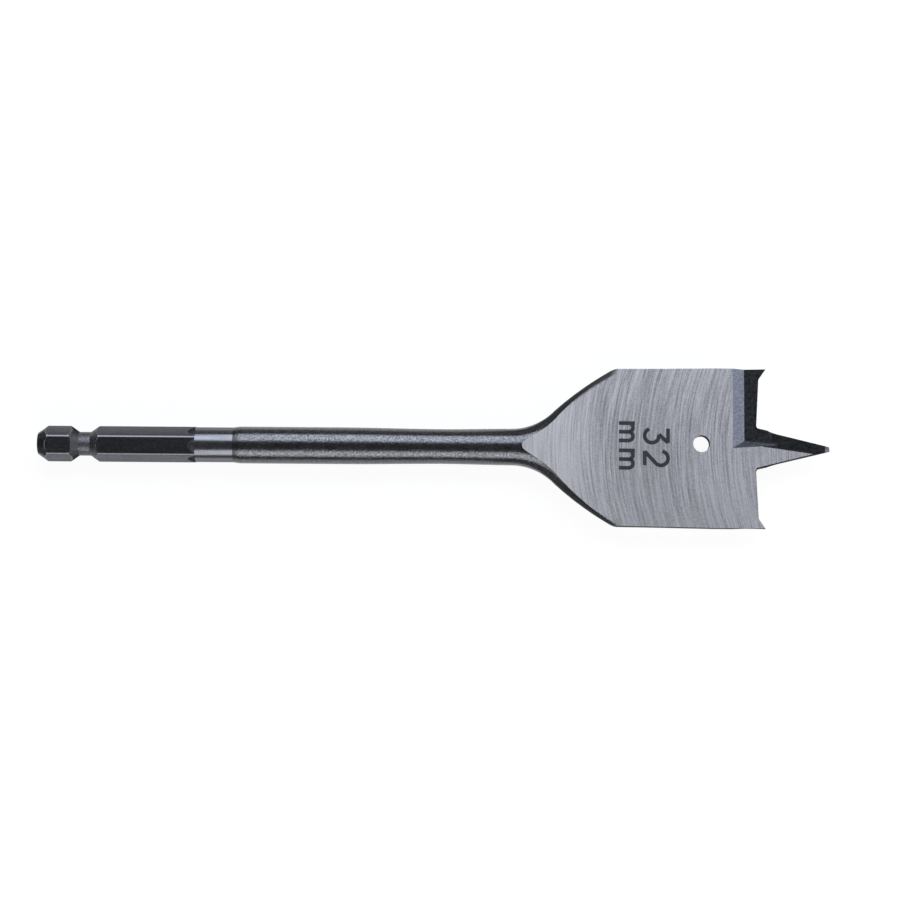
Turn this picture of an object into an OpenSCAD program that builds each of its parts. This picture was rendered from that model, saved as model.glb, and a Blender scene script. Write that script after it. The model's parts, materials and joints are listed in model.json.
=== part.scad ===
// Spade drill bit: hexagonal shank, round forged shaft and a flat ground blade with two lips and a point.
// It lies along X with the point towards +X, the blade flat and the shaft touching z = 0. Millimetres.

/* [Overall] */
// Length from the shank end to the tip of the point
overall_length = 158; // [150:0.5:200]
// Diameter of the hole that the blade bores
blade_diameter = 32; // [26:0.5:36]

/* [Shank] */
// Distance across the flats of the hexagon
hex_across_flats = 6.35; // [6:0.05:6.5]
// Diameter over the rounded corners of the hexagon
hex_corner_diameter = 7.12; // [7:0.02:7.3]
// Turn of the hexagon about the axis, from a flat parallel to the blade
hex_roll = 10; // [0:1:30]
// Length of the hexagon, from the end face to the collar
shank_length = 31.6; // [26:0.1:36]
// Diameter of the end face
end_face_diameter = 4.3; // [3.4:0.1:5.4]
// Height of the crown on the end face
end_crown = 0.2; // [0.1:0.05:0.5]
// Angle to the axis of the end chamfer and of the groove walls
turned_angle = 35; // [28:1:50]
// Distance from the end face to the floor of the groove
groove_start = 8.4; // [7:0.1:10]
// Width of the groove floor
groove_width = 2.3; // [1.5:0.1:3.5]
// Diameter of the groove floor
groove_diameter = 4.74; // [4.2:0.02:5.4]
// Length over which the flats run out into the collar
runout_length = 1.7; // [0.8:0.1:3]

/* [Shaft] */
// Length of the smooth round collar after the hexagon
collar_length = 7.5; // [4:0.1:12]
// Diameter of the collar
collar_diameter = 6.98; // [6.9:0.02:7.2]
// Length of the rounded step from the collar to the shaft
step_length = 1.7; // [1:0.1:3]
// Diameter of the shaft
shaft_diameter = 7.38; // [7.36:0.02:8]
// Diameter of the shaft at its waist
waist_diameter = 6.99; // [6.6:0.01:7.2]
// Distance from the waist to the start of the neck
waist_distance = 13.6; // [8:0.1:18]
// Length over which the shaft narrows to its waist
waist_run = 19; // [8:0.5:22]

/* [Neck and shoulders] */
// Diameter of the neck, and of the round edge of the shoulders
neck_diameter = 7.34; // [7:0.02:7.36]
// Radius of the hollow flare from the neck to the shoulders, seen on the blade
flare_radius = 12; // [8:0.5:16]
// Radius of the slightly crowned shoulder
shoulder_radius = 66; // [40:1:120]
// Angle of the shoulder to the axis where it meets the corner
shoulder_angle = 30; // [26:1:36]
// Radius of the corner between the shoulder and the side of the blade
corner_radius = 4; // [2:0.5:6]

/* [Blade] */
// Thickness of the blade
blade_thickness = 2.4; // [2.1:0.1:3]
// Length of the side of the blade, from the corner to the lips
blade_length = 27.4; // [24:0.1:34]
// Length of the side that is parallel to the axis
parallel_length = 8.4; // [6:0.1:12]
// How much narrower each side is at the shoulder
back_taper = 0.28; // [0:0.02:0.5]
// Clearance angle of the sides
side_relief = 1.5; // [0.5:0.5:5]
// Slope of the ground faces where they start on the neck
grind_angle = 6.3; // [5:0.1:9]
// Distance from the start of the neck to the start of the ground faces
grind_start = 2.05; // [1:0.05:4]
// Radius that blends the sloped ground faces into the flat ones
grind_radius = 110; // [40:5:140]
// Diameter of the hole through the blade
hole_diameter = 3.35; // [2:0.05:4.5]
// Distance from the hole to the lips
hole_distance = 10.85; // [9:0.05:14]
// Distance of the hole from the axis
hole_offset = 0.85; // [0:0.05:2]

/* [Lips and spurs] */
// Slope of the lips, forwards to the outside
lip_slope = 2.5; // [0:0.5:6]
// Clearance angle behind the lips
lip_relief = 12; // [6:1:16]
// Height of the spurs over the lips
spur_height = 1.4; // [0.6:0.1:2]
// Width of the spurs at the lips
spur_width = 2.1; // [1.2:0.1:3]
// Length of the hollow behind each lip
hollow_length = 4.6; // [4:0.1:6]
// Depth of the hollow at the foot of its wall
hollow_depth = 1.2; // [0.6:0.05:1.4]
// Slope of the wall behind the hollow
hollow_wall_angle = 26.5; // [22:0.5:45]
// Slope of the wall between the hollow and the axis
hollow_end_angle = 41; // [35:1:60]
// Angle in the blade's plane between that wall and the axis
hollow_end_skew = 3.5; // [0:0.5:6]
// Rake of the hollow's floor, which rises to the lip
rake_angle = 8; // [4:0.5:12]

/* [Point] */
// Length of the point from the lips to its tip
point_length = 14.75; // [11:0.05:16]
// Angle between the sides of the point
point_angle = 28.3; // [24:0.1:34]
// Width of the blunt tip
tip_width = 1; // [0.4:0.01:1.2]
// Radius between each lip and the point
root_radius = 0.6; // [0.3:0.1:1]
// Slope of the bevel on each leading side of the point
bevel_angle = 34; // [26:1:36]
// Angle in the blade's plane between the bevel's ridge and the axis
bevel_skew = 8; // [4:0.5:9]
// Distance from the lips to the start of the bevel's ridge
bevel_start = 2.8; // [2:0.05:4]
// Distance of the start of the ridge from the axis
bevel_offset = 0.49; // [0.1:0.01:1]
// Radius at which the bevel runs out towards the lip
bevel_runout = 3; // [1.5:0.5:5]
// Length of the small facet at the tip
facet_length = 1.2; // [0.6:0.1:2]
// Thickness of the tip
tip_thickness = 0.24; // [0.1:0.02:0.4]

/* [Hidden] */
$fn = 96;

// Straight steps that stand for a curve of a turned or ground profile
steps = 10;
// Room by which a cutting shape stands clear of what it cuts
spare = 2;
// How far the round edge is followed past its highest line, where the two flares part
edge_overlap = 1;
// Angle by which the round edge of the flare is followed past the start of the shoulder
edge_overrun = 3;
// How far the shoulder's round edge stands over the flare's at its start, so that the two cross
edge_lift = 0.03;
// How far below the flats their run-out starts
runout_sink = 0.05;
// Angle by which the corner's arc stops short of the shoulder's slope
corner_stop = 6;

// Stations along the axis, from the end of the shank
lip_x = overall_length - point_length;
corner_x = lip_x - blade_length;
collar_end_x = shank_length + collar_length;

// Outline of one side of the blade
half_width = blade_diameter / 2;
corner_y = half_width - back_taper;
corner_sweep = shoulder_angle - corner_stop;
shoulder_end_x = corner_x - corner_radius * sin(corner_sweep);
shoulder_end_y = corner_y - corner_radius * (1 - cos(corner_sweep));

// The hollow flare and the crowned shoulder meet at one common slope
neck_radius = neck_diameter / 2;
flare_reach = neck_radius + flare_radius + shoulder_radius * cos(shoulder_angle) - shoulder_end_y;
flare_angle = acos(flare_reach / (shoulder_radius + flare_radius));
flare_end_x = shoulder_end_x - shoulder_radius * (sin(flare_angle) - sin(shoulder_angle));
flare_end_y = neck_radius + flare_radius * (1 - cos(flare_angle));
neck_x = flare_end_x - flare_radius * sin(flare_angle);
shoulder_centre_x = flare_end_x + shoulder_radius * sin(flare_angle);
shoulder_centre_y = flare_end_y - shoulder_radius * cos(flare_angle);
waist_x = neck_x - waist_distance;

// Heights over the axis
face_z = blade_thickness / 2;
floor_z = face_z - hollow_depth;

// Wall and floor of the hollow
wall_x = lip_x - hollow_length;
foot_x = wall_x + hollow_depth / tan(hollow_wall_angle);
lip_edge_z = floor_z + (lip_x - foot_x) * tan(rake_angle);

// Side of the point and the start of its ridge
point_half_angle = point_angle / 2;
root_half_width = tip_width / 2 + point_length * tan(point_half_angle);
ridge_x = lip_x + bevel_start;

// The facet falls from the bevel to the thickness of the tip
ridge_run = point_length - bevel_start;
facet_x = ridge_run * cos(bevel_skew) + bevel_offset * sin(bevel_skew) - facet_length;
tip_fall = (ridge_run * sin(bevel_skew) - bevel_offset * cos(bevel_skew)) * tan(bevel_angle);
facet_slope = (face_z - tip_fall - tip_thickness / 2) * cos(bevel_angle) / facet_length;

// Smooth rise from 0 to 1
function ease(t) = (1 - cos(180 * t)) / 2;

// Points of an arc about a centre, from one angle to another
function arc(cx, cy, r, from, to, n) =
    [for (i = [0 : n]) let (a = from + (to - from) * i / n) [cx + r * cos(a), cy + r * sin(a)]];

// Turns a profile of radius and station about the X axis
module turned(points) {
    rotate([0, 90, 0])
        rotate_extrude()
            polygon(points);
}

// Adds the same shape turned half a turn about the axis
module on_both_sides() {
    children();
    rotate([180, 0, 0])
        children();
}

// Hexagonal bar with its crowned end, chamfer and groove
module hex_shank() {
    rim_radius = hex_corner_diameter / 2;
    end_radius = end_face_diameter / 2;
    groove_radius = groove_diameter / 2;
    crown_radius = (end_radius * end_radius + end_crown * end_crown) / (2 * end_crown);
    crown_angle = asin(end_radius / crown_radius);
    crown = [for (i = [0 : steps]) let (a = crown_angle * i / steps)
        [crown_radius * sin(a), crown_radius * (1 - cos(a))]];
    chamfer_x = end_crown + (rim_radius - end_radius) / tan(turned_angle);
    groove_run = (rim_radius - groove_radius) / tan(turned_angle);
    groove_end = groove_start + groove_width;
    intersection() {
        turned(concat(crown, [
            [rim_radius, chamfer_x],
            [rim_radius, groove_start - groove_run],
            [groove_radius, groove_start],
            [groove_radius, groove_end],
            [rim_radius, groove_end + groove_run],
            [rim_radius, shank_length],
            [0, shank_length]]));
        rotate([hex_roll, 0, 0])
            rotate([0, 90, 0])
                rotate([0, 0, 30])
                    translate([0, 0, -spare])
                        cylinder(d = hex_across_flats / cos(30), h = shank_length + spare, $fn = 6);
    }
}

// Collar with the run-out of the flats, the step and the waisted shaft
module shaft() {
    collar_radius = collar_diameter / 2;
    shaft_radius = shaft_diameter / 2;
    waist_radius = waist_diameter / 2;
    runout_radius = hex_across_flats / 2 - runout_sink;
    step = [for (i = [1 : steps]) let (t = i / steps)
        [collar_radius + (shaft_radius - collar_radius) * sin(90 * t), collar_end_x + step_length * t]];
    narrowing = [for (i = [0 : steps]) let (t = i / steps)
        [shaft_radius + (waist_radius - shaft_radius) * ease(t), waist_x + waist_run * (t - 1)]];
    widening = [for (i = [1 : steps]) let (t = i / steps)
        [waist_radius + (neck_radius - waist_radius) * ease(t), waist_x + waist_distance * t]];
    turned(concat(
        [[0, shank_length - runout_length], [runout_radius, shank_length - runout_length],
         [collar_radius, shank_length], [collar_radius, collar_end_x]],
        step, narrowing, widening,
        [[0, neck_x]]));
}

// Section of what lies outside a round edge: a tall strip with the edge's circle left out
module outside_edge(inner, outer, edge_centre) {
    tall = neck_diameter + 2 * spare;
    difference() {
        translate([inner, -tall / 2])
            square([outer - inner, tall]);
        translate([edge_centre, 0])
            circle(r = neck_radius);
    }
}

// What lies outside the round edge of the hollow flare, on the +Y side
module beyond_flare() {
    translate([neck_x, neck_radius + flare_radius, 0])
        rotate([0, 0, -90])
            rotate_extrude(angle = flare_angle + edge_overrun)
                outside_edge(0, flare_radius + neck_radius + edge_overlap, flare_radius + neck_radius);
}

// What lies outside the round edge of the crowned shoulder, on the +Y side
module beyond_shoulder() {
    lift = [-edge_lift * sin(flare_angle), edge_lift * cos(flare_angle), 0];
    translate([shoulder_centre_x, shoulder_centre_y, 0] + lift)
        rotate([0, 0, 90 + flare_angle - shoulder_angle])
            rotate_extrude(angle = shoulder_angle)
                outside_edge(shoulder_radius - neck_radius, shoulder_radius + half_width,
                             shoulder_radius - neck_radius);
}

// Room between the two ground faces, from the neck to the tip
module between_ground_faces() {
    blend = grind_radius * tan(grind_angle / 2);
    start_x = neck_x + grind_start;
    flat_x = start_x + (neck_radius - face_z) / tan(grind_angle);
    upper = concat(
        [[neck_x, neck_radius + grind_start * tan(grind_angle)]],
        arc(flat_x + blend, face_z + grind_radius, grind_radius, 270 - grind_angle, 270, steps),
        [[overall_length, face_z]]);
    lower = [for (i = [len(upper) - 1 : -1 : 0]) [upper[i][0], -upper[i][1]]];
    rotate([90, 0, 0])
        linear_extrude(height = blade_diameter + 2 * spare, center = true)
            polygon(concat(upper, lower));
}

// Room inside the relieved side of the blade and its rounded corner, on the +Y side
module inside_side() {
    behind = corner_x - neck_x + spare;
    translate([corner_x, half_width, face_z])
        rotate([-side_relief, 0, 0])
            linear_extrude(height = 4 * neck_diameter, center = true)
                polygon(concat(
                    [[-behind, -blade_diameter], [overall_length, -blade_diameter],
                     [overall_length, 0], [blade_length - parallel_length, 0]],
                    arc(0, -back_taper - corner_radius, corner_radius, 90, 90 + corner_sweep, steps),
                    [[-behind, shoulder_end_y - half_width
                      - (behind + shoulder_end_x - corner_x) * tan(corner_sweep)]]));
}

// Room behind the relieved lip, spur and side of the point, on the +Y side
module behind_lip() {
    side_slope = tan(point_half_angle);
    turn = 90 - point_half_angle - lip_slope;
    set_back = root_radius * tan(turn / 2);
    root_x = root_half_width * tan(lip_slope) / (1 + side_slope * tan(lip_slope));
    root_y = root_half_width - root_x * side_slope;
    fillet_x = root_x + set_back * cos(point_half_angle) + root_radius * sin(point_half_angle);
    fillet_y = root_y - set_back * sin(point_half_angle) + root_radius * cos(point_half_angle);
    spur_y = half_width - spur_width;
    rise = spur_height / spur_width;
    squeeze = cos(lip_relief);
    outline = concat(
        [[neck_x - lip_x - spare, -spare], [(root_half_width + spare) / side_slope, -spare]],
        arc(fillet_x, fillet_y, root_radius, 270 - point_half_angle, 180 - lip_slope, steps),
        [[spur_y * tan(lip_slope), spur_y],
         [spur_y * tan(lip_slope) + (spur_width + spare) * rise, half_width + spare],
         [neck_x - lip_x - spare, half_width + spare]]);
    translate([lip_x, 0, lip_edge_z])
        rotate([0, lip_relief, 0])
            linear_extrude(height = overall_length, center = true)
                polygon([for (p = outline) [p[0] * squeeze, p[1]]]);
}

// Half of the neck, shoulder and blade, on the +Y side of the axis
module blade_half() {
    difference() {
        difference() {
            intersection() {
                translate([neck_x, 0, -neck_diameter])
                    cube([overall_length - neck_x, half_width + spare, 2 * neck_diameter]);
                between_ground_faces();
                inside_side();
                behind_lip();
            }
            beyond_flare();
        }
        beyond_shoulder();
    }
}

// Hollow that the wheel leaves behind the lip, on the +Y side of the upper face
module lip_hollow() {
    far_x = overall_length + spare;
    above_z = face_z + spare;
    wall_run = spare / tan(hollow_wall_angle);
    end_x = wall_x - ridge_x;
    intersection() {
        rotate([90, 0, 0])
            linear_extrude(height = 2 * blade_diameter, center = true)
                polygon([
                    [wall_x - wall_run, above_z],
                    [foot_x, floor_z],
                    [far_x, floor_z + (far_x - foot_x) * tan(rake_angle)],
                    [far_x, above_z + point_length]]);
        translate([ridge_x, bevel_offset, face_z])
            rotate([0, 0, hollow_end_skew])
                rotate([-hollow_end_angle, 0, 0])
                    translate([2 * end_x, -blade_diameter, 0])
                        cube([-3 * end_x + point_length, 2 * blade_diameter, blade_diameter]);
    }
}

// Bevel along the point with its run-out and the facet at the tip, on the +Y side of the upper face
module point_bevel() {
    top = 2 * bevel_runout + spare;
    past_tip = facet_x + 3 * facet_length;
    translate([ridge_x, bevel_offset, face_z])
        rotate([0, 0, -bevel_skew])
            rotate([-bevel_angle, 0, 0])
                rotate([90, 0, 0])
                    linear_extrude(height = 2 * root_half_width + 2 * spare, center = true)
                        polygon(concat(
                            [[-bevel_runout / 2, top]],
                            arc(bevel_runout / 2, bevel_runout, bevel_runout, 180, 270, steps),
                            [[facet_x, 0], [past_tip, (facet_x - past_tip) * facet_slope],
                             [past_tip, top]]));
}

module spade_bit() {
    color("slategray")
        translate([-overall_length / 2, 0, shaft_diameter / 2])
            difference() {
                union() {
                    hex_shank();
                    shaft();
                    on_both_sides()
                        blade_half();
                }
                on_both_sides() {
                    lip_hollow();
                    point_bevel();
                }
                translate([lip_x - hole_distance, hole_offset, -blade_thickness])
                    cylinder(d = hole_diameter, h = 2 * blade_thickness);
            }
}

spade_bit();
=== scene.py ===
"""Studio scene of a spade drill bit: its dressed steel body, its size mark, the light and the camera."""

import json
import logging
import math
from dataclasses import dataclass
from enum import Enum
from typing import Callable, Protocol, Union

import bpy
from mathutils import Matrix, Vector

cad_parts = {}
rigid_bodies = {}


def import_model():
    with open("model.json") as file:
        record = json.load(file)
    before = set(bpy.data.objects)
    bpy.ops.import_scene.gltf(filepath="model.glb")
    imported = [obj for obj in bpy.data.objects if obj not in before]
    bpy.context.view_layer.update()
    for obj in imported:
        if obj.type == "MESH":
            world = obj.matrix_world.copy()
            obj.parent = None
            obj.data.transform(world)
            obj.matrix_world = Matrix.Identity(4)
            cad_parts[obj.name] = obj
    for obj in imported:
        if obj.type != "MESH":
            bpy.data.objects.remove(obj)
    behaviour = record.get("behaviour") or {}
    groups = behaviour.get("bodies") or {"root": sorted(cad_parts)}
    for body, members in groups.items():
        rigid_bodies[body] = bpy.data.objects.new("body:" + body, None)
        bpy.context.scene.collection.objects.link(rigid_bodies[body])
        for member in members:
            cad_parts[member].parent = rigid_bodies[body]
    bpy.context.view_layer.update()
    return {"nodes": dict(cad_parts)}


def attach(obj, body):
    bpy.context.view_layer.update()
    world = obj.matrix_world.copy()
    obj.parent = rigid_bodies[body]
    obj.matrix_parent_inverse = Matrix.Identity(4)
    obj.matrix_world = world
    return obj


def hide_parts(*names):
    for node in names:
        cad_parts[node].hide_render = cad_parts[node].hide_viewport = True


LOG = logging.getLogger("spade_bit")
MM = 0.001
BIT_LENGTH = 158 * MM
AXIS_HEIGHT = 3.69 * MM
WHEEL_RADIUS = 46 * MM

Colour = tuple[float, float, float]
Corner = tuple[float, float, float]
Point = tuple[float, float]
Socket = bpy.types.NodeSocket
Value = Union[Socket, float]
Tint = Union[Socket, Colour]


class Zone(Enum):
    """Kinds of surface on the bit, in the order of its material slots."""

    HEXAGON = 0
    COLLAR = 1
    FORGED = 2
    GROUND = 3
    HONED = 4
    WALL = 5
    DULL = 6


class Sign(Enum):
    """Signs of the size mark."""

    THREE = "3"
    TWO = "2"
    M = "m"


@dataclass(frozen=True)
class Grain:
    """Cells in a metre of a noise pattern, its finer layers and their share."""

    pitch: float
    layers: float = 2.0
    share: float = 0.6


@dataclass(frozen=True)
class Span:
    """A range of values, and the range that it is mapped to."""

    low: float
    high: float
    to_low: float = 0.0
    to_high: float = 1.0


@dataclass(frozen=True)
class Relief:
    """Strength of a bump, and its height in metres."""

    strength: float
    depth: float


class NodeBench:
    """Adds shader nodes to one new material and links them."""

    def __init__(self, name: str) -> None:
        """Starts a material with one Principled shader.

        Args:
            name: Name of the material.
        """
        self.material = bpy.data.materials.new(name)
        self.material.use_nodes = True
        self.tree = self.material.node_tree
        self.tree.nodes.clear()
        self.output = self.tree.nodes.new("ShaderNodeOutputMaterial")
        self.shader = self.tree.nodes.new("ShaderNodeBsdfPrincipled")
        self.link(self.shader.outputs["BSDF"], self.output.inputs["Surface"])

    def link(self, source: Socket, target: Socket) -> None:
        """Joins two sockets."""
        self.tree.links.new(source, target)

    def feed(self, target: Socket, value: Value) -> None:
        """Links a socket to another, or sets it to a plain value.

        Args:
            target: Input socket.
            value: Output socket, number or tuple.
        """
        if isinstance(value, Socket):
            self.link(value, target)
        else:
            target.default_value = value

    def place(self) -> Socket:
        """Returns the Object coordinates, in metres."""
        return self.tree.nodes.new("ShaderNodeTexCoord").outputs["Object"]

    def split(self, vector: Socket) -> list[Socket]:
        """Takes a vector apart.

        Args:
            vector: The vector.

        Returns:
            Its X, Y and Z.
        """
        node = self.tree.nodes.new("ShaderNodeSeparateXYZ")
        self.link(vector, node.inputs[0])
        return [node.outputs[i] for i in range(3)]

    def join(self, x: Value, y: Value, z: Value) -> Socket:
        """Puts a vector together.

        Args:
            x: Its X.
            y: Its Y.
            z: Its Z.

        Returns:
            The vector.
        """
        node = self.tree.nodes.new("ShaderNodeCombineXYZ")
        for socket, value in zip(node.inputs, (x, y, z)):
            self.feed(socket, value)
        return node.outputs[0]

    def math(self, operation: str, a: Value, b: Value = 0.0) -> Socket:
        """Returns the result of one Math node.

        Args:
            operation: Name of the operation.
            a: First value or socket.
            b: Second value or socket.

        Returns:
            The node's output.
        """
        node = self.tree.nodes.new("ShaderNodeMath")
        node.operation = operation
        self.feed(node.inputs[0], a)
        self.feed(node.inputs[1], b)
        return node.outputs[0]

    def add(self, a: Value, b: Value) -> Socket:
        """Returns a sum."""
        return self.math("ADD", a, b)

    def minus(self, a: Value, b: Value) -> Socket:
        """Returns a difference."""
        return self.math("SUBTRACT", a, b)

    def times(self, a: Value, b: Value) -> Socket:
        """Returns a product."""
        return self.math("MULTIPLY", a, b)

    def reach(self, a: Socket, b: Socket) -> Socket:
        """Returns the length of the way that goes a along and b across."""
        return self.math("SQRT", self.add(self.times(a, a), self.times(b, b)))

    def about_axis(self) -> tuple[Socket, Socket, Socket]:
        """Gives the place as the bit's axis sees it.

        Returns:
            X along the axis, Y across it and the height over it.
        """
        x, y, z = self.split(self.place())
        return x, y, self.minus(z, AXIS_HEIGHT)

    def noise(self, vector: Socket, grain: Grain) -> Socket:
        """Returns a noise pattern from 0 to 1.

        Args:
            vector: Coordinates of the pattern.
            grain: Its size and layers.

        Returns:
            The pattern's value.
        """
        node = self.tree.nodes.new("ShaderNodeTexNoise")
        self.link(vector, node.inputs["Vector"])
        node.inputs["Scale"].default_value = grain.pitch
        node.inputs["Detail"].default_value = grain.layers
        node.inputs["Roughness"].default_value = grain.share
        return node.outputs["Fac"]

    def specks(self, grain: Grain) -> Socket:
        """Returns a noise pattern that is alike in all directions."""
        return self.noise(self.place(), grain)

    def streaks(self, stretch: float, grain: Grain) -> Socket:
        """Returns a noise pattern that is drawn out along the bit.

        Args:
            stretch: Share of the distance along the bit that counts.
            grain: Its size and layers.

        Returns:
            The pattern's value.
        """
        x, y, z = self.split(self.place())
        return self.noise(self.join(self.times(x, stretch), y, z), grain)

    def span(self, value: Socket, span: Span) -> Socket:
        """Maps a value from one range to another, clamped.

        Args:
            value: Value to map.
            span: The two ranges.

        Returns:
            The mapped value.
        """
        node = self.tree.nodes.new("ShaderNodeMapRange")
        for socket, number in zip(node.inputs, (value, span.low, span.high, span.to_low, span.to_high)):
            self.feed(socket, number)
        return node.outputs[0]

    def blend(self, share: Socket, first: Tint, second: Tint) -> Socket:
        """Returns a colour between two colours.

        Args:
            share: 0 for the first colour, 1 for the second.
            first: First colour or socket.
            second: Second colour or socket.

        Returns:
            The mixed colour.
        """
        node = self.tree.nodes.new("ShaderNodeMix")
        node.data_type = "RGBA"
        self.feed(node.inputs["Factor"], share)
        for socket, tint in zip((node.inputs[6], node.inputs[7]), (first, second)):
            self.feed(socket, tint if isinstance(tint, Socket) else (*tint, 1.0))
        return node.outputs[2]

    def bump(self, height: Socket, relief: Relief) -> Socket:
        """Returns a normal raised by a height pattern.

        Args:
            height: Pattern from 0 to 1.
            relief: Strength and height of the bump.

        Returns:
            The bumped normal.
        """
        node = self.tree.nodes.new("ShaderNodeBump")
        node.inputs["Strength"].default_value = relief.strength
        node.inputs["Distance"].default_value = relief.depth
        self.link(height, node.inputs["Height"])
        return node.outputs["Normal"]

    def coat(self, colour: Socket, roughness: Socket, normal: Socket) -> bpy.types.Material:
        """Finishes the material.

        Args:
            colour: Colour pattern.
            roughness: Roughness pattern.
            normal: Bumped normal.

        Returns:
            The material.
        """
        self.link(colour, self.shader.inputs["Base Color"])
        self.link(roughness, self.shader.inputs["Roughness"])
        self.link(normal, self.shader.inputs["Normal"])
        return self.material

    def metal(self, colour: Socket, roughness: Socket, normal: Socket, rim: Colour) -> bpy.types.Material:
        """Finishes the material as bare metal.

        Args:
            colour: Colour of the metal.
            roughness: Roughness pattern.
            normal: Bumped normal.
            rim: Tint of the metal seen at a flat angle.

        Returns:
            The material.
        """
        self.shader.inputs["Metallic"].default_value = 1.0
        self.shader.inputs["Specular Tint"].default_value = (*rim, 1.0)
        return self.coat(colour, roughness, normal)


class Finish(Protocol):
    """A finish that can make its material."""

    def build(self) -> bpy.types.Material:
        """Returns the material."""


@dataclass(frozen=True)
class WheelLines:
    """Curved lines that a grinding wheel leaves across the blade."""

    radius: float
    reach: float
    grain: Grain

    def build(self, bench: NodeBench, level: Value) -> Socket:
        """Makes the pattern of the lines.

        Args:
            bench: The material's bench.
            level: Height at which the pattern is cut.

        Returns:
            The pattern from 0 to 1.
        """
        x, y, _ = bench.split(bench.place())
        sweep = bench.times(bench.times(y, y), 0.5 / self.radius)
        return bench.noise(bench.join(bench.minus(x, sweep), bench.times(y, self.reach), level), self.grain)


@dataclass(frozen=True)
class HexagonFinish:
    """Black-oxide bar steel of the hexagon, with faint drawing lines, worn corners with painted shade along
    both their sides, and a painted highlight where the flats end.
    """

    dark: Colour = (0.115, 0.119, 0.129)
    light: Colour = (0.175, 0.181, 0.196)
    worn: Colour = (0.165, 0.17, 0.18)
    # Painted shade: a darker colour on both sides of each worn corner, which narrows the corner's highlight.
    shade_flank: Colour = (0.055, 0.057, 0.062)
    # Painted highlight: a lighter colour on the thin line where each flat ends, standing in for the light that
    # its rounded edge catches.
    end_highlight: Colour = (0.27, 0.275, 0.285)
    rim: Colour = (0.6, 0.6, 0.62)
    line_stretch: float = 0.03
    lines: Grain = Grain(4200.0)
    specks: Grain = Grain(1700.0, 3.0, 0.65)
    patches: Grain = Grain(900.0, 2.0, 0.5)
    tone: Span = Span(0.15, 0.4)
    patch_share: Span = Span(0.35, 0.6, 0.15, 1.0)
    roughness: Span = Span(0.3, 0.7, 0.16, 0.24)
    end_line_roughness: float = 0.25
    relief: Relief = Relief(0.15, 0.006 * MM)
    corner_angle: float = math.radians(10)
    half_side: float = math.radians(30)
    worn_reach: float = math.radians(1.5)
    shade_flank_reach: float = math.radians(3.1)
    strip_fade: float = 0.2
    corner: Span = Span(3.49 * MM, 3.53 * MM)
    end_x: float = -78.8 * MM
    end_radius: float = 2.15 * MM
    groove_x: float = -69.45 * MM
    groove_half: float = 1.15 * MM
    groove_radius: float = 2.37 * MM
    taper: float = math.tan(math.radians(35))
    highlight_start: float = 0.03 * MM
    highlight_width: float = 0.17 * MM

    def corners(self, bench: NodeBench, reach: float) -> Socket:
        """Makes a mask of a strip along each of the hexagon's six corners.

        Args:
            bench: The material's bench.
            reach: Half of the strip's width, as an angle about the axis.

        Returns:
            1 on the strips.
        """
        _, y, height = bench.about_axis()
        turn = bench.minus(bench.math("ARCTAN2", height, y), self.corner_angle)
        away = bench.math("PINGPONG", turn, self.half_side)
        fade = self.strip_fade
        strip = bench.span(away, Span((1 - fade) * reach, (1 + fade) * reach, 1.0, 0.0))
        return bench.times(strip, bench.span(bench.reach(y, height), self.corner))

    def flat_ends(self, bench: NodeBench) -> Socket:
        """Makes a mask of the thin line where each flat ends at a turned cone, which gets a painted highlight.

        Args:
            bench: The material's bench.

        Returns:
            1 on the lines.
        """
        x, y, height = bench.about_axis()
        chamfer = bench.times(bench.minus(x, self.end_x), self.taper)
        away = bench.math("ABSOLUTE", bench.minus(x, self.groove_x))
        groove = bench.times(bench.minus(away, self.groove_half), self.taper)
        cone = bench.math("MINIMUM", bench.add(chamfer, self.end_radius), bench.add(groove, self.groove_radius))
        room = bench.minus(cone, bench.reach(y, height))
        start, width = self.highlight_start, self.highlight_width
        begin = bench.span(room, Span(start, 2 * start))
        return bench.times(begin, bench.span(room, Span(width - start, width + start, 1.0, 0.0)))

    def build(self) -> bpy.types.Material:
        """Makes the material.

        Returns:
            The material.
        """
        bench = NodeBench("hexagon_steel")
        specks = bench.specks(self.specks)
        tone = bench.times(bench.streaks(self.line_stretch, self.lines), specks)
        steel = bench.blend(bench.span(tone, self.tone), self.dark, self.light)
        # Painted shade on both sides of each corner.
        shaded_flanks = bench.blend(self.corners(bench, self.shade_flank_reach), steel, self.shade_flank)
        edges = bench.blend(self.corners(bench, self.worn_reach), shaded_flanks, self.worn)
        patches = bench.span(bench.specks(self.patches), self.patch_share)
        ends = bench.times(self.flat_ends(bench), patches)
        # Painted highlight, in patches, on the line where each flat ends.
        colour = bench.blend(ends, edges, self.end_highlight)
        roughness = bench.add(bench.span(specks, self.roughness), bench.times(ends, self.end_line_roughness))
        return bench.metal(colour, roughness, bench.bump(specks, self.relief), self.rim)


@dataclass(frozen=True)
class CollarFinish:
    """Smooth turned steel of the collar."""

    dark: Colour = (0.168, 0.174, 0.188)
    light: Colour = (0.2, 0.207, 0.224)
    rim: Colour = (0.6, 0.6, 0.62)
    ring_stretch: float = 0.02
    rings: Grain = Grain(7000.0)
    clouds: Grain = Grain(600.0, 2.0, 0.5)
    roughness: Span = Span(0.3, 0.7, 0.19, 0.25)
    relief: Relief = Relief(0.08, 0.004 * MM)

    def build(self) -> bpy.types.Material:
        """Makes the material.

        Returns:
            The material.
        """
        bench = NodeBench("collar_steel")
        x, y, z = bench.split(bench.place())
        around = bench.join(x, bench.times(y, self.ring_stretch), bench.times(z, self.ring_stretch))
        rings = bench.noise(around, self.rings)
        colour = bench.blend(rings, self.dark, self.light)
        roughness = bench.span(bench.specks(self.clouds), self.roughness)
        return bench.metal(colour, roughness, bench.bump(rings, self.relief), self.rim)


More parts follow.
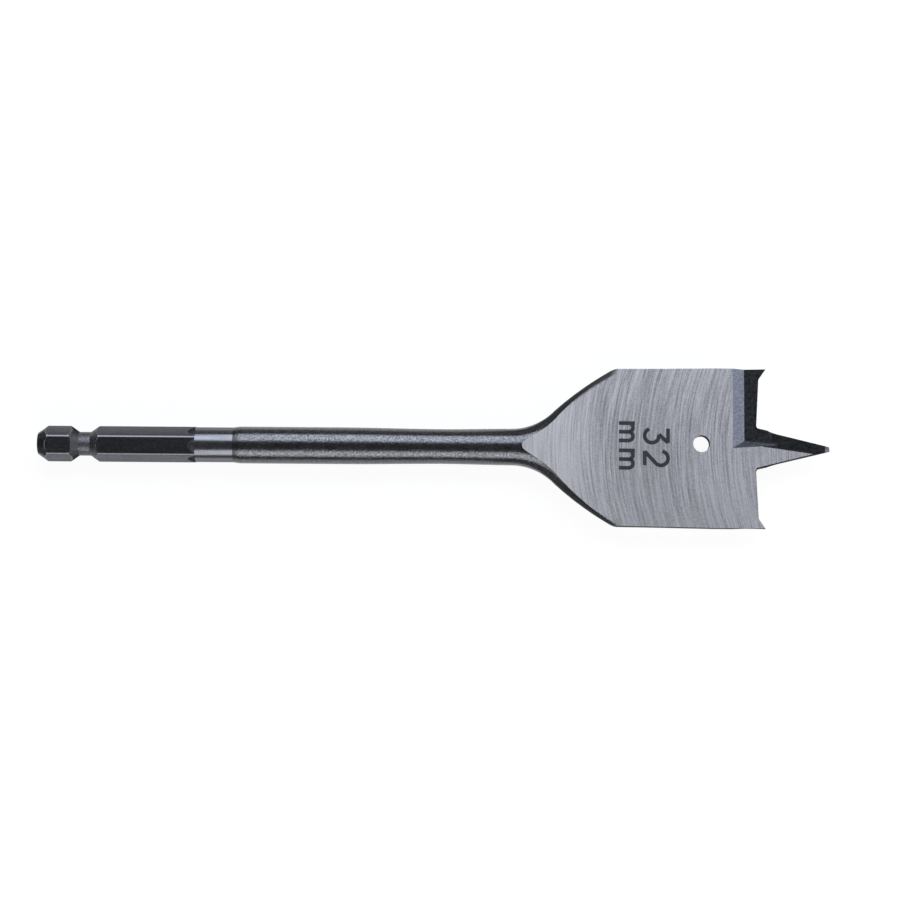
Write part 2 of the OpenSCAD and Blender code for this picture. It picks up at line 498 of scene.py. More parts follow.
@dataclass(frozen=True)
class ForgedFinish:
    """Dark scaled steel of the forged shaft and shoulders, with a fine grain."""

    dark: Colour = (0.075, 0.077, 0.082)
    light: Colour = (0.166, 0.169, 0.179)
    # Painted shade: the dark ring where the collar steps up to the shaft.
    step_shade: Colour = (0.065, 0.067, 0.07)
    rim: Colour = (1.0, 1.0, 1.0)
    grain: Grain = Grain(2900.0, 3.0, 0.65)
    clouds: Grain = Grain(500.0, 3.0)
    specks: Grain = Grain(3200.0)
    tone: Span = Span(0.38, 0.62)
    ring_begin: Span = Span(-41.2 * MM, -40.2 * MM, 0.0, 0.75)
    ring_finish: Span = Span(-40.2 * MM, -38.2 * MM, 1.0, 0.0)
    groove_matt: Span = Span(-66 * MM, -65 * MM, 0.22, 0.0)
    roughness: Span = Span(0.3, 0.7, 0.19, 0.27)
    cloud_height: float = 0.5
    relief: Relief = Relief(0.9, 0.031 * MM)

    def build(self) -> bpy.types.Material:
        """Makes the material, with a ring of scale at the collar and a matt groove.

        Returns:
            Makes the material, with a dark ring of painted shade at the step from the collar to the shaft, and
            a matt groove.
        """
        bench = NodeBench("forged_steel")
        place = bench.place()
        x = bench.split(place)[0]
        grain, clouds = bench.noise(place, self.grain), bench.noise(place, self.clouds)
        steel = bench.blend(bench.span(bench.noise(place, self.specks), self.tone), self.dark, self.light)
        # Painted shade at the step from the collar.
        ring = bench.times(bench.span(x, self.ring_begin), bench.span(x, self.ring_finish))
        colour = bench.blend(ring, steel, self.step_shade)
        roughness = bench.add(bench.span(clouds, self.roughness), bench.span(x, self.groove_matt))
        height = bench.add(grain, bench.times(clouds, self.cloud_height))
        return bench.metal(colour, roughness, bench.bump(height, self.relief), self.rim)


@dataclass(frozen=True)
class GroundFinish:
    """Pale steel of the ground faces, with wheel lines, a dark strip of unground forged steel along the
    shoulders that is also painted shade of their rounded edges, and honed lands.
    """

    dark: Colour = (0.255, 0.254, 0.267)
    light: Colour = (0.685, 0.678, 0.705)
    bright: Colour = (0.8, 0.785, 0.785)
    # Unground forged steel and painted shade: the dark strip along the shoulders, which stands in for the shade
    # on their rounded edges.
    skin_and_shade: Colour = (0.17, 0.172, 0.178)
    honed: Colour = (0.18, 0.186, 0.197)
    rim: Colour = (0.6, 0.6, 0.62)
    first: WheelLines = WheelLines(WHEEL_RADIUS, 0.016, Grain(2500.0, 4.0, 0.85))
    second: WheelLines = WheelLines(62 * MM, 0.024, Grain(3300.0, 4.0, 0.85))
    grain: Grain = Grain(3800.0)
    first_share: float = 0.45
    second_share: float = 0.35
    grain_share: float = 0.2
    # Painted light: the lines brighten towards the near side and towards the lips, as light falls there.
    near_side_light: Span = Span(-16 * MM, 0.0, 0.027, 0.0)
    lip_light: Span = Span(33 * MM, 64 * MM, 0.0, 0.024)
    neck_lift: Span = Span(25.5 * MM, 33 * MM, 0.04, 0.0)
    neck_bright: Span = Span(25.5 * MM, 33 * MM, 0.3, 0.0)
    tone: Span = Span(0.415, 0.585)
    roughness: float = 0.4
    strip_gloss: float = 0.15
    land_gloss: float = 0.28
    relief: Relief = Relief(0.4, 0.008 * MM)
    shoulder_radius: float = 66 * MM
    shoulder_x: float = 68.22 * MM
    shoulder_y: float = 41.78 * MM
    strip_width: Span = Span(-MM, MM, 0.62 * MM, 1.15 * MM)
    strip_grain: Grain = Grain(1500.0, 2.0, 0.5)
    strip_ragged: float = 0.25 * MM
    strip_edge: Span = Span(-0.4 * MM, 0.0, 1.0, 0.0)
    strip_begin: Span = Span(24 * MM, 26 * MM)
    strip_finish: Span = Span(35.2 * MM, 36.8 * MM, 1.0, 0.0)
    soft: float = 0.06 * MM
    point_start: float = 64.3 * MM
    land_start: float = 65.6 * MM
    land_full: float = 68.2 * MM
    land_top: float = 0.33 * MM
    land_slope: float = -0.1408
    land_foot: float = 9.929 * MM
    land_width: float = 0.33 * MM
    edge_slope: float = 0.252
    edge_foot: float = -20.333 * MM
    edge_width: float = 0.2 * MM
    edge_reach: float = MM

    def skin_and_shade_strip(self, bench: NodeBench) -> Socket:
        """Makes a mask of the strip along the shoulders that the wheel didn't reach, which also carries painted
        shade of their rounded edges.

        Args:
            bench: The material's bench.

        Returns:
            1 on the strip.
        """
        x, y, _ = bench.split(bench.place())
        along = bench.minus(x, self.shoulder_x)
        side = bench.add(bench.math("ABSOLUTE", y), self.shoulder_y)
        inside = bench.minus(self.shoulder_radius, bench.reach(along, side))
        ragged = bench.times(bench.specks(self.strip_grain), self.strip_ragged)
        width = bench.add(bench.span(y, self.strip_width), ragged)
        strip = bench.span(bench.minus(inside, width), self.strip_edge)
        ends = bench.times(bench.span(x, self.strip_begin), bench.span(x, self.strip_finish))
        return bench.times(strip, ends)

    def within(self, bench: NodeBench, distance: Socket, width: Value) -> Socket:
        """Says, with a soft border, where a distance is less than a width.

        Args:
            bench: The material's bench.
            distance: Distance from the start of a strip.
            width: The strip's width.

        Returns:
            1 on the strip.
        """
        return bench.span(bench.minus(distance, width), Span(-self.soft, self.soft, 1.0, 0.0))

    def after(self, bench: NodeBench, value: Socket, start: float) -> Socket:
        """Says, with a soft border, where a value is past a start.

        Args:
            bench: The material's bench.
            value: The value.
            start: Where it begins.

        Returns:
            1 past the start.
        """
        return bench.span(value, Span(start, start + self.soft))

    def point_lands(self, bench: NodeBench) -> Socket:
        """Makes a mask of the narrow honed lands of the point, along its bevel and along its other side.

        Args:
            bench: The material's bench.

        Returns:
            1 on the lands.
        """
        x, y, height = bench.about_axis()
        side = bench.times(y, bench.math("SIGN", height))
        slope = bench.add(bench.times(x, self.land_slope), self.land_foot)
        past = bench.minus(bench.math("MINIMUM", slope, self.land_top), side)
        width = bench.span(x, Span(self.land_start, self.land_full, 0.0, self.land_width))
        land = bench.times(self.within(bench, past, width), self.after(bench, x, self.land_start))
        rim = bench.add(bench.times(x, self.edge_slope), self.edge_foot)
        inside = bench.minus(side, rim)
        near = self.after(bench, inside, -self.edge_reach)
        on_point = bench.times(near, self.after(bench, x, self.point_start))
        edge = bench.times(self.within(bench, inside, self.edge_width), on_point)
        return bench.math("MAXIMUM", land, edge)

    def build(self) -> bpy.types.Material:
        """Makes the material, with the lines brighter at the neck, and with painted light that brightens them
        towards the lips and on the near side.

        Returns:
            The material.
        """
        bench = NodeBench("ground_steel")
        x, y, z = bench.split(bench.place())
        first = bench.times(self.first.build(bench, z), self.first_share)
        second = bench.times(self.second.build(bench, z), self.second_share)
        lines = bench.add(first, second)
        pattern = bench.add(lines, bench.times(bench.specks(self.grain), self.grain_share))
        # Painted light towards the near side and the lips.
        sides = bench.add(bench.span(y, self.near_side_light), bench.span(x, self.lip_light))
        tone = bench.add(pattern, bench.add(sides, bench.span(x, self.neck_lift)))
        steel = bench.blend(bench.span(tone, self.tone), self.dark, self.light)
        neck = bench.blend(bench.span(x, self.neck_bright), steel, self.bright)
        skin_and_shade, lands = self.skin_and_shade_strip(bench), self.point_lands(bench)
        # The shoulder strip: forged steel and painted shade.
        colour = bench.blend(lands, bench.blend(skin_and_shade, neck, self.skin_and_shade), self.honed)
        gloss = bench.add(bench.times(skin_and_shade, self.strip_gloss), bench.times(lands, self.land_gloss))
        roughness = bench.minus(self.roughness, gloss)
        return bench.metal(colour, roughness, bench.bump(lines, self.relief), self.rim)


@dataclass(frozen=True)
class HonedFinish:
    """Smooth steel of the hollows, the reliefs and the bevels of the point."""

    dark: Colour = (0.1, 0.107, 0.113)
    light: Colour = (0.255, 0.268, 0.28)
    rim: Colour = (0.55, 0.55, 0.57)
    stretch: float = 0.04
    streaks: Grain = Grain(6400.0)
    clouds: Grain = Grain(1800.0)
    streak_share: float = 0.3
    cloud_share: float = 0.7
    tone: Span = Span(0.38, 0.62)
    roughness: Span = Span(0.3, 0.7, 0.08, 0.14)
    relief: Relief = Relief(0.12, 0.004 * MM)

    def build(self) -> bpy.types.Material:
        """Makes the material.

        Returns:
            The material.
        """
        bench = NodeBench("honed_steel")
        clouds = bench.specks(self.clouds)
        streaks = bench.times(bench.streaks(self.stretch, self.streaks), self.streak_share)
        tone = bench.add(streaks, bench.times(clouds, self.cloud_share))
        colour = bench.blend(bench.span(tone, self.tone), self.dark, self.light)
        roughness = bench.span(clouds, self.roughness)
        return bench.metal(colour, roughness, bench.bump(clouds, self.relief), self.rim)


@dataclass(frozen=True)
class WallFinish:
    """Finely ground steel of the walls round the hollows, lighter and bluer than the other steel as painted
    light.
    """

    # Painted light: a lighter, bluish colour that stands in for the blue light these walls reflect.
    dark: Colour = (0.125, 0.138, 0.172)
    light: Colour = (0.23, 0.25, 0.31)
    rim: Colour = (0.55, 0.55, 0.57)
    stretch: float = 0.15
    streaks: Grain = Grain(3000.0)
    grain: Grain = Grain(2600.0)
    streak_share: float = 0.5
    grain_share: float = 0.5
    tone: Span = Span(0.35, 0.65)
    roughness: Span = Span(0.3, 0.7, 0.24, 0.34)
    relief: Relief = Relief(0.35, 0.01 * MM)

    def build(self) -> bpy.types.Material:
        """Makes the material.

        Returns:
            The material.
        """
        bench = NodeBench("wall_steel")
        grain = bench.specks(self.grain)
        streaks = bench.times(bench.streaks(self.stretch, self.streaks), self.streak_share)
        tone = bench.add(streaks, bench.times(grain, self.grain_share))
        colour = bench.blend(bench.span(tone, self.tone), self.dark, self.light)
        roughness = bench.span(grain, self.roughness)
        return bench.metal(colour, roughness, bench.bump(tone, self.relief), self.rim)


@dataclass(frozen=True)
class DullShadeFinish:
    """Dull steel in the hole, on the sides of the point and where the hexagon's flats run out, with a
    near-black colour and dark rim that are painted shade.
    """

    # Painted shade: near-black steel colour and a dark rim tint.
    dark: Colour = (0.045, 0.047, 0.05)
    light: Colour = (0.09, 0.092, 0.098)
    rim: Colour = (0.12, 0.12, 0.12)
    grain: Grain = Grain(2600.0)
    tone: Span = Span(0.3, 0.7)
    roughness: Span = Span(0.3, 0.7, 0.45, 0.55)
    relief: Relief = Relief(0.3, 0.01 * MM)

    def build(self) -> bpy.types.Material:
        """Makes the material.

        Returns:
            The material.
        """
        bench = NodeBench("dull_shaded_steel")
        grain = bench.specks(self.grain)
        colour = bench.blend(bench.span(grain, self.tone), self.dark, self.light)
        roughness = bench.span(grain, self.roughness)
        return bench.metal(colour, roughness, bench.bump(grain, self.relief), self.rim)


@dataclass(frozen=True)
class MarkFinish:
    """Dark etched surface of the size mark, through which the grinding lines still show."""

    dark: Colour = (0.006, 0.0065, 0.008)
    light: Colour = (0.032, 0.034, 0.039)
    lines: WheelLines = WheelLines(WHEEL_RADIUS, 0.015, Grain(7000.0))
    tone: Span = Span(0.35, 0.75)
    roughness: Span = Span(0.3, 0.7, 0.5, 0.7)
    relief: Relief = Relief(0.3, 0.005 * MM)

    def build(self) -> bpy.types.Material:
        """Makes the material.

        Returns:
            The material.
        """
        bench = NodeBench("etched_mark")
        lines = self.lines.build(bench, 0.0)
        colour = bench.blend(bench.span(lines, self.tone), self.dark, self.light)
        return bench.coat(colour, bench.span(lines, self.roughness), bench.bump(lines, self.relief))


def only(piece: bpy.types.Object) -> None:
    """Selects one object and makes it active.

    Args:
        piece: The object.
    """
    bpy.ops.object.select_all(action="DESELECT")
    piece.select_set(True)
    bpy.context.view_layer.objects.active = piece


def pick_faces(piece: bpy.types.Object, test: Callable[[bpy.types.MeshPolygon], bool]) -> int:
    """Selects the faces that pass a test and leaves the piece in edit mode.

    Args:
        piece: Mesh object, in edit mode.
        test: Says whether a face is picked.

    Returns:
        Number of faces picked.
    """
    bpy.ops.mesh.select_mode(type="FACE")
    bpy.ops.mesh.select_all(action="DESELECT")
    bpy.ops.object.mode_set(mode="OBJECT")
    count = 0
    for face in piece.data.polygons:
        face.select = test(face)
        count += face.select
    bpy.ops.object.mode_set(mode="EDIT")
    return count


@dataclass
class BitBody:
    """The one steel piece of the bit: its sorted, smoothed and dressed surface.

    Stations are distances from the shank end. A lean is the part of a face's normal along the bit, a slant
    the part across it, and a rise the part that points up or down.
    """

    length: float = BIT_LENGTH
    hexagon_end: float = 31.62 * MM
    collar_end: float = 39.05 * MM
    grind_start: float = 96.6 * MM
    stub_end: float = 6.4 * MM
    groove_start: float = 8.3 * MM
    groove_end: float = 10.8 * MM
    grip_start: float = 12.8 * MM
    runout_start: float = 29.8 * MM
    hole_place: float = 132.4 * MM
    hole_reach: float = 3 * MM
    hollow_start: float = 138.0 * MM
    point_start: float = 145.3 * MM
    point_ramp_end: float = 146.9 * MM
    runout_lean: float = -0.1
    turned_lean: float = 0.3
    ground_rise: float = 0.9925
    ground_slant: float = 0.02
    hollow_lean: float = -0.05
    upright_rise: float = 0.3
    ramp_lean: float = 0.5
    back_wall_lean: float = 0.35
    back_wall_slant: float = 0.1
    end_wall_low: float = 0.7
    end_wall_high: float = 0.795
    end_wall_slant: float = 0.5
    weld: float = 0.0005 * MM
    smooth_angle: float = math.radians(20)
    finishes: tuple[Finish, ...] = (
        HexagonFinish(), CollarFinish(), ForgedFinish(), GroundFinish(), HonedFinish(), WallFinish(),
        DullShadeFinish())
    crisp: tuple[Zone, ...] = (Zone.HEXAGON, Zone.GROUND, Zone.HONED, Zone.WALL)

    def zone(self, face: bpy.types.MeshPolygon) -> Zone:
        """Says which kind of surface a face belongs to.

        Args:
            face: A face of the body.

        Returns:
            Its zone.
        """
        station = face.center.x + self.length / 2
        if station < self.hexagon_end:
            return self.shank_zone(station, face.normal.x)
        if station < self.collar_end:
            return Zone.COLLAR
        if station < self.grind_start:
            return Zone.FORGED
        return self.blade_zone(station, face)

    def shank_zone(self, station: float, lean: float) -> Zone:
        """Says which kind of surface a face of the hexagonal shank belongs to.

        Args:
            station: The face's station.
            lean: The face's lean.

        Returns:
            Its zone.
        """
        # The flats' run-outs and a cone of the stub that faces the point get the dull steel with painted shade.
        if station > self.runout_start and lean < self.runout_lean:
            return Zone.DULL
        if self.stub_end < station < self.groove_start and lean > self.turned_lean:
            return Zone.DULL
        turned = abs(lean) > self.turned_lean or self.groove_start < station < self.groove_end
        return Zone.FORGED if turned and self.stub_end < station < self.grip_start else Zone.HEXAGON

    def blade_zone(self, station: float, face: bpy.types.MeshPolygon) -> Zone:
        """Says which kind of surface a face of the blade belongs to.

        Args:
            station: The face's station.
            face: The face.

        Returns:
            Its zone.
        """
        lean, slant, rise = face.normal.x, abs(face.normal.y), abs(face.normal.z)
        flat = rise > self.ground_rise and slant < self.ground_slant
        if flat and not (station > self.hollow_start and lean < self.hollow_lean):
            return Zone.GROUND
        upright = rise < self.upright_rise
        at_hole = abs(station - self.hole_place) < self.hole_reach and abs(face.center.y) < self.hole_reach
        # The hole's walls, and the point's sides and ramp, get the dull steel with painted shade.
        if upright and at_hole:
            return Zone.DULL
        ramp = station < self.point_ramp_end and lean > self.ramp_lean
        if station > self.point_start and (upright or ramp):
            return Zone.DULL
        if station < self.hollow_start or upright:
            return Zone.FORGED
        back_wall = lean > self.back_wall_lean and slant < self.back_wall_slant
        end_wall = self.end_wall_low < rise < self.end_wall_high and slant > self.end_wall_slant
        return Zone.WALL if back_wall or end_wall else Zone.HONED

    def build(self, node: bpy.types.Object) -> bpy.types.Object:
        """Makes the dressed body from the solid's own surface.

        Args:
            node: The solid's object in the frame.

        Returns:
            The dressed piece.
        """
        piece = bpy.data.objects.new("bit_body", node.data.copy())
        bpy.context.scene.collection.objects.link(piece)
        piece.data.materials.clear()
        only(piece)
        bpy.ops.object.mode_set(mode="EDIT")
        bpy.ops.mesh.select_all(action="SELECT")
        bpy.ops.mesh.customdata_custom_splitnormals_clear()
        bpy.ops.mesh.remove_doubles(threshold=self.weld)
        bpy.ops.mesh.normals_make_consistent(inside=False)
        bpy.ops.object.mode_set(mode="OBJECT")
        bpy.ops.object.shade_smooth_by_angle(angle=self.smooth_angle)
        self.dress(piece)
        self.part_zones(piece)
        LOG.info("bit_body: %d faces", len(piece.data.polygons))
        return piece

    def dress(self, piece: bpy.types.Object) -> None:
        """Gives each zone its finish.

        Args:
            piece: The body.
        """
        for finish in self.finishes:
            piece.data.materials.append(finish.build())
        bpy.ops.object.mode_set(mode="EDIT")
        for zone in Zone:
            count = pick_faces(piece, lambda face, wanted=zone: self.zone(face) is wanted)
            piece.active_material_index = zone.value
            bpy.ops.object.material_slot_assign()
            LOG.info("%s: %d faces", zone.name.lower(), count)
        bpy.ops.object.mode_set(mode="OBJECT")

    def part_zones(self, piece: bpy.types.Object) -> None:
        """Keeps a crisp edge round the zones whose borders are ground sharp.

        Args:
            piece: The body.
        """
        bpy.ops.object.mode_set(mode="EDIT")
        for zone in self.crisp:
            pick_faces(piece, lambda face, wanted=zone: face.material_index == wanted.value)
            bpy.ops.mesh.region_to_loop()
            bpy.ops.mesh.mark_sharp()
        bpy.ops.object.mode_set(mode="OBJECT")


@dataclass
class SizeMark:
    """The bore diameter marked on the blade, read from the side of the blade."""

    length: float = BIT_LENGTH
    stroke: float = 0.77 * MM
    figure_base: float = 120.66 * MM
    letter_base: float = 115.9 * MM
    figure_height: float = 5.43 * MM
    figure_width: float = 3.64 * MM
    letter_height: float = 3.2 * MM
    leg_spacing: float = 1.74 * MM
    figure_starts: Point = (4.2 * MM, -0.31 * MM)
    letter_starts: Point = (4.82 * MM, -0.65 * MM)
    three_bowl: Point = (100.0, -158.0)
    three_inset: float = 0.04 * MM
    two_bow: Point = (168.0, -38.0)
    two_inset: float = 0.08 * MM
    bow_steps: int = 14
    arch_steps: int = 10
    roundness: int = 2
    drop_height: float = 9 * MM
    lift: float = 0.008 * MM
    finish: MarkFinish = MarkFinish()

    def arc(self, centre: Point, radius: float, sweep: Point, steps: int) -> list[Point]:
        """Returns points of an arc.

        Args:
            centre: Centre of the arc.
            radius: Radius of the arc.
            sweep: First and last angle in degrees.
            steps: Number of straight steps.

        Returns:
            The points.
        """
        start, end = sweep
        angles = [math.radians(start + (end - start) * i / steps) for i in range(steps + 1)]
        return [(centre[0] + radius * math.cos(a), centre[1] + radius * math.sin(a)) for a in angles]

    def lines(self, sign: Sign) -> list[list[Point]]:
        """Returns the middle lines of a sign's strokes, to the right and up, in metres.

        Args:
            sign: The sign.

        Returns:
            One list of points for each stroke.
        """
        half = self.stroke / 2
        right, top = self.figure_width - half, self.figure_height - half
        radius = self.figure_width / 2 - half
        middle = self.figure_width / 2
        if sign is Sign.THREE:
            bowl = self.arc((middle, half + radius), radius, self.three_bowl, self.bow_steps)
            return [[(half, top), (right, top)], [(right - self.three_inset, top), bowl[0]], bowl]
        if sign is Sign.TWO:
            bow = self.arc((middle, top - radius), radius, self.two_bow, self.bow_steps)
            return [bow + [(half + self.two_inset, half)], [(half, half), (right, half)]]
        arch = self.leg_spacing / 2
        shoulder = self.letter_height - half - arch
        legs = [[(0.0, 0.0), (0.0, self.letter_height)]]
        for i in range(2):
            bend = self.arc((arch + i * self.leg_spacing, shoulder), arch, (180.0, 0.0), self.arch_steps)
            legs.append(bend + [((i + 1) * self.leg_spacing, 0.0)])
        return legs

    def draw(self, curve: bpy.types.Curve, sign: Sign, base: float, start: float) -> None:
        """Adds the strokes of one sign to the mark's curve.

        Args:
            curve: The mark's curve.
            sign: The sign.
            base: Station of the sign's foot.
            start: Place of its left side across the blade.
        """
        for points in self.lines(sign):
            spline = curve.splines.new("POLY")
            spline.points.add(len(points) - 1)
            for point, (right, up) in zip(spline.points, points):
                point.co = (base + up - self.length / 2, start - right, 0.0, 1.0)

    def build(self, body: bpy.types.Object) -> bpy.types.Object:
        """Makes the mark and lays it on the blade.

        Args:
            body: The dressed body.

        Returns:
            The mark.
        """
        curve = bpy.data.curves.new("size_mark", "CURVE")
        curve.dimensions = "3D"
        curve.bevel_depth = self.stroke / 2
        curve.bevel_resolution = self.roundness
        for sign, start in zip((Sign.THREE, Sign.TWO), self.figure_starts):
            self.draw(curve, sign, self.figure_base, start)
        for start in self.letter_starts:
            self.draw(curve, Sign.M, self.letter_base, start)
        piece = bpy.data.objects.new("size_mark", curve)
        bpy.context.scene.collection.objects.link(piece)
        only(piece)
        bpy.ops.object.convert(target="MESH")
        piece = bpy.context.view_layer.objects.active
        self.lay(piece, body)
        piece.data.materials.clear()
        piece.data.materials.append(self.finish.build())
        LOG.info("size_mark: %d faces", len(piece.data.polygons))
        return piece

    def lay(self, piece: bpy.types.Object, body: bpy.types.Object) -> None:
        """Flattens the strokes and lets them down on the ground face.

        Args:
            piece: The mark's mesh.
            body: The dressed body.
        """
        bpy.ops.object.mode_set(mode="EDIT")
        bpy.ops.mesh.select_all(action="SELECT")
        bpy.ops.mesh.bisect(plane_co=(0, 0, 0), plane_no=(0, 0, 1), clear_inner=True)
        bpy.ops.mesh.select_all(action="SELECT")
        bpy.ops.transform.resize(value=(1, 1, 0), center_override=(0, 0, 0))
        bpy.ops.transform.translate(value=(0, 0, self.drop_height))
        bpy.ops.object.mode_set(mode="OBJECT")
        drop = piece.modifiers.new("lay", "SHRINKWRAP")
        drop.wrap_method = "PROJECT"
        drop.use_project_z = True
        drop.use_negative_direction = True
        drop.use_positive_direction = False
        drop.target = body
        drop.offset = self.lift
        bpy.ops.object.modifier_apply(modifier=drop.name)


@dataclass(frozen=True)
class Strip:
    """A long soft light beside the bit, between two angles from straight overhead, towards +Y."""

    name: str
    near: float
    far: float
    radiance: Colour
    distance: float = 0.55
    length: float = 1.2
    shift: float = 0.38

    def build(self) -> bpy.types.Object:
        """Makes and places the light.

        Returns:
            The light.
        """
        near, far = math.radians(self.near), math.radians(self.far)
        middle, half = (near + far) / 2, abs(far - near) / 2
        width = 2 * self.distance * math.tan(half)
        peak = max(self.radiance)
        lamp = bpy.data.lights.new(self.name, "AREA")
        lamp.shape = "RECTANGLE"
        lamp.size, lamp.size_y = self.length, width
        lamp.color = tuple(value / peak for value in self.radiance)
        lamp.energy = peak * math.pi * self.length * width
        piece = bpy.data.objects.new(self.name, lamp)
        piece.location = (self.shift, self.distance * math.sin(middle), self.distance * math.cos(middle))
        piece.rotation_euler = (-middle, 0.0, 0.0)
        bpy.context.scene.collection.objects.link(piece)
        return piece


@dataclass(frozen=True)
class Card:
    """A dark card that only the steel's reflections show."""

    name: str
    tone: Colour
    corners: tuple[Corner, ...]

    @classmethod
    def upright(cls, name: str, tone: Colour, foot: tuple[Point, Point], rise: Point) -> "Card":
        """Makes a card that stands on edge.

        Args:
            name: Name of the card.
            tone: Its colour.
            foot: Both ends of its lower edge, seen from above.
            rise: Its lowest and highest height.

        Returns:
            The card.
        """
        low, high = [[(*end, height) for end in foot] for height in rise]
        return cls(name, tone, (*low, *reversed(high)))

    @classmethod
    def level(cls, name: str, tone: Colour, outline: tuple[Point, ...], height: float) -> "Card":
        """Returns a card that lies level."""
        return cls(name, tone, tuple((x, y, height) for x, y in outline))

    def build(self) -> bpy.types.Object:
        """Makes the card and hides it from the camera, from diffuse and clear rays and from shadows.

        Returns:
            The card.
        """
        bpy.ops.object.select_all(action="DESELECT")
        bpy.ops.mesh.primitive_circle_add(vertices=len(self.corners), fill_type="NGON")
        piece = bpy.context.active_object
        piece.name = self.name
        for vertex, corner in zip(piece.data.vertices, self.corners):
            vertex.co = corner
        material = bpy.data.materials.new(self.name)
        material.use_nodes = True
        nodes = material.node_tree.nodes
        nodes.clear()
        glow = nodes.new("ShaderNodeEmission")
        glow.inputs["Color"].default_value = (*self.tone, 1.0)
        output = nodes.new("ShaderNodeOutputMaterial")
        material.node_tree.links.new(glow.outputs[0], output.inputs["Surface"])
        piece.data.materials.append(material)
        piece.visible_camera = False
        piece.visible_diffuse = False
        piece.visible_shadow = False
        piece.visible_transmission = False
        return piece


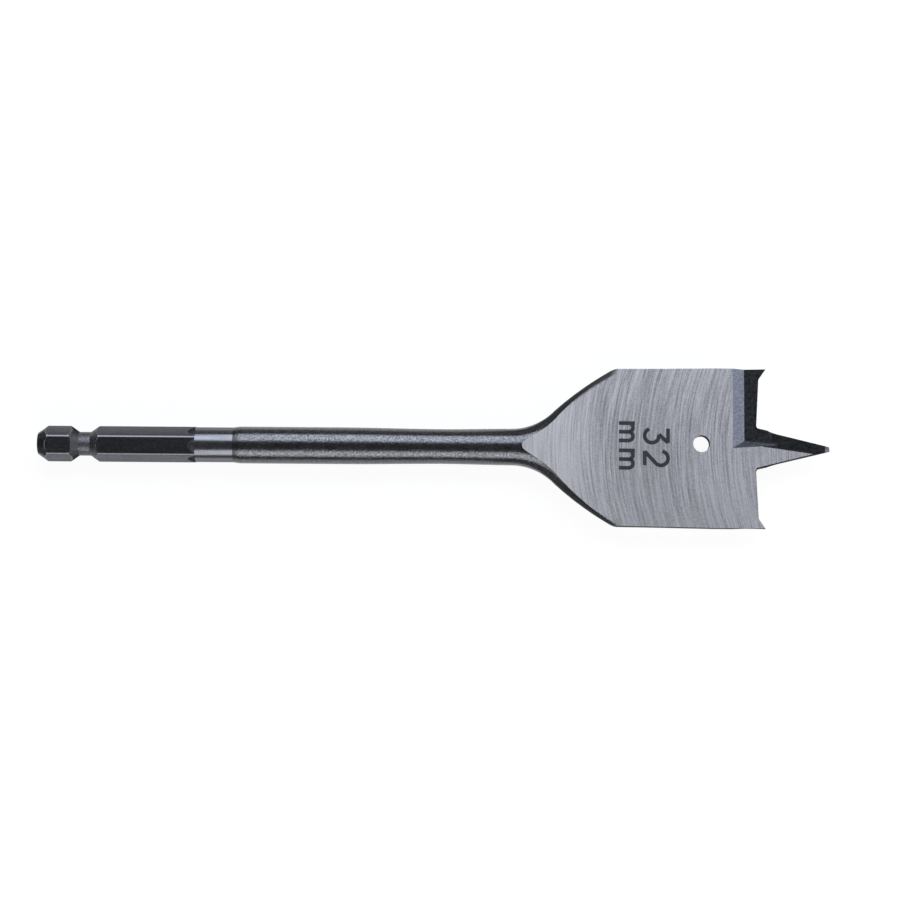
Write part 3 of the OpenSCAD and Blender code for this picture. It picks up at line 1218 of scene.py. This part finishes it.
@dataclass
class Stage:
    """White floor, soft strips of light and the dark cards that the steel shows."""

    floor_size: float = 8.0
    floor_colour: float = 0.15
    floor_glow: float = 0.92
    surround_white: float = 1.0
    surround_light: float = 0.15
    card_tone: Colour = (0.075, 0.08, 0.085)
    overhead_tone: Colour = (0.11, 0.115, 0.122)
    overhead_outline: tuple[Point, ...] = ((-0.4, -0.4), (0.3, -0.4), (0.3, 0.165), (-0.4, 0.165))
    overhead_height: float = 0.44
    floor_card_tone: Colour = (0.19, 0.195, 0.2)
    floor_card_height: float = 0.2 * MM
    floor_outline: tuple[Point, ...] = (
        (-600, 0), (-84, 0), (-84, 22.5), (8, 22), (17, 10), (20.5, 7.2), (24, 8.6), (30, 12.2),
        (36.5, 15.6), (63.5, 15.6), (64, 4), (79, 0.3), (79, 620), (-600, 620))
    upright_cards: tuple[tuple[str, tuple[Point, Point], Point], ...] = (
        ("card_far_side", ((-1.5, 0.62), (0.35, 0.62)), (0.03, 0.27)),
        ("card_near_side", ((-1.5, -0.62), (0.6, -0.62)), (0.0, 0.14)),
        ("card_shank_end", ((-0.8, -0.4), (-0.8, 0.4)), (0.0, 0.6)),
        ("card_point_side", ((0.073, 0.03), (0.091, 0.03)), (0.0, 0.012)),
        ("card_point_end", ((0.091, 0.03), (0.083, 0.01)), (0.0, 0.012)),
    )
    strips: tuple[Strip, ...] = (
        Strip("strip_far_side", 23.0, 65.0, (1.75, 1.93, 2.3)),
        Strip("strip_near_side", -41.0, -76.0, (1.55, 1.58, 1.65)),
    )

    def seen(self, tree: bpy.types.NodeTree) -> Socket:
        """Tells the rays of the eye, of reflections and of clear things from those of light.

        Args:
            tree: Node tree of a material or of the surroundings.

        Returns:
            1 for what is seen, 0 for light.
        """
        path = tree.nodes.new("ShaderNodeLightPath")
        result = path.outputs["Is Camera Ray"]
        for kind in ("Is Glossy Ray", "Is Transmission Ray"):
            either = tree.nodes.new("ShaderNodeMath")
            either.operation = "MAXIMUM"
            tree.links.new(result, either.inputs[0])
            tree.links.new(path.outputs[kind], either.inputs[1])
            result = either.outputs[0]
        return result

    def level(self, tree: bpy.types.NodeTree, unseen: float, seen: float) -> Socket:
        """Gives one strength to what is seen and another to light.

        Args:
            tree: Node tree of a material or of the surroundings.
            unseen: Strength as a light.
            seen: Strength to the eye and in reflections.

        Returns:
            The strength.
        """
        node = tree.nodes.new("ShaderNodeMapRange")
        node.inputs["To Min"].default_value = unseen
        node.inputs["To Max"].default_value = seen
        tree.links.new(self.seen(tree), node.inputs["Value"])
        return node.outputs[0]

    def floor_finish(self) -> bpy.types.Material:
        """Makes the floor's material: it takes shadows, and shows white to the eye and in the steel.

        Returns:
            The material.
        """
        material = bpy.data.materials.new("floor_white")
        material.use_nodes = True
        tree = material.node_tree
        tree.nodes.clear()
        light = tree.nodes.new("ShaderNodeEmission")
        tree.links.new(self.level(tree, 0.0, self.floor_glow), light.inputs["Strength"])
        matt = tree.nodes.new("ShaderNodeBsdfDiffuse")
        matt.inputs["Color"].default_value = (*[self.floor_colour] * 3, 1.0)
        both = tree.nodes.new("ShaderNodeAddShader")
        tree.links.new(matt.outputs[0], both.inputs[0])
        tree.links.new(light.outputs[0], both.inputs[1])
        output = tree.nodes.new("ShaderNodeOutputMaterial")
        tree.links.new(both.outputs[0], output.inputs["Surface"])
        return material

    def cards(self) -> list[Card]:
        """Lists the cards.

        Returns:
            The cards over the bit, round it and on the floor on both its sides.
        """
        cards = [Card.level("card_over", self.overhead_tone, self.overhead_outline, self.overhead_height)]
        cards += [Card.upright(name, self.card_tone, foot, rise) for name, foot, rise in self.upright_cards]
        for name, side in (("card_floor_far", 1), ("card_floor_near", -1)):
            outline = tuple((x * MM, side * y * MM) for x, y in self.floor_outline)
            cards.append(Card.level(name, self.floor_card_tone, outline, self.floor_card_height))
        return cards

    def surround(self) -> None:
        """Makes the surroundings white to the eye and in the steel, and dim as a light."""
        world = bpy.data.worlds.new("surround")
        bpy.context.scene.world = world
        world.use_nodes = True
        tree = world.node_tree
        tree.nodes.clear()
        back = tree.nodes.new("ShaderNodeBackground")
        back.inputs["Color"].default_value = (1.0, 1.0, 1.0, 1.0)
        strength = self.level(tree, self.surround_light, self.surround_white)
        tree.links.new(strength, back.inputs["Strength"])
        output = tree.nodes.new("ShaderNodeOutputWorld")
        tree.links.new(back.outputs[0], output.inputs["Surface"])

    def build(self) -> None:
        """Builds the floor, the lights, the cards and the surroundings."""
        bpy.ops.object.select_all(action="DESELECT")
        bpy.ops.mesh.primitive_plane_add(size=self.floor_size)
        floor = bpy.context.active_object
        floor.name = "floor"
        floor.data.materials.append(self.floor_finish())
        for strip in self.strips:
            strip.build()
        for card in self.cards():
            card.build()
        self.surround()


@dataclass
class StudioCamera:
    """Camera high over the bit, leaning a little towards the viewer."""

    focal: float = 92.4
    sensor: float = 36.0
    nearest: float = 0.01
    farthest: float = 50.0
    distance: float = 0.461
    lean: float = math.radians(6.2)
    turn: float = math.radians(0.449)
    aim: Corner = (3.3 * MM, -0.68 * MM, AXIS_HEIGHT)

    def build(self) -> bpy.types.Object:
        """Makes the camera and points it.

        Returns:
            The camera.
        """
        data = bpy.data.cameras.new("camera")
        data.lens = self.focal
        data.sensor_width = self.sensor
        data.clip_start, data.clip_end = self.nearest, self.farthest
        camera = bpy.data.objects.new("camera", data)
        bpy.context.scene.collection.objects.link(camera)
        back = Vector((0.0, -math.sin(self.lean), math.cos(self.lean)))
        tilt = Matrix.Rotation(self.lean, 4, "X")
        roll = Matrix.Rotation(self.turn, 4, "Z")
        camera.matrix_world = Matrix.Translation(Vector(self.aim) + back * self.distance) @ tilt @ roll
        bpy.context.scene.camera = camera
        return camera


def main() -> None:
    """Builds the camera, the stage and the dressed bit."""
    logging.basicConfig(level=logging.INFO, format="%(name)s: %(message)s")
    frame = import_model()
    bpy.context.scene.view_settings.view_transform = "Standard"
    StudioCamera().build()
    Stage().build()
    body = BitBody().build(frame["nodes"]["spade_bit"])
    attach(body, "root")
    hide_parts("spade_bit")
    mark = SizeMark().build(body)
    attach(mark, "root")


if __name__ == "__main__":
    main()
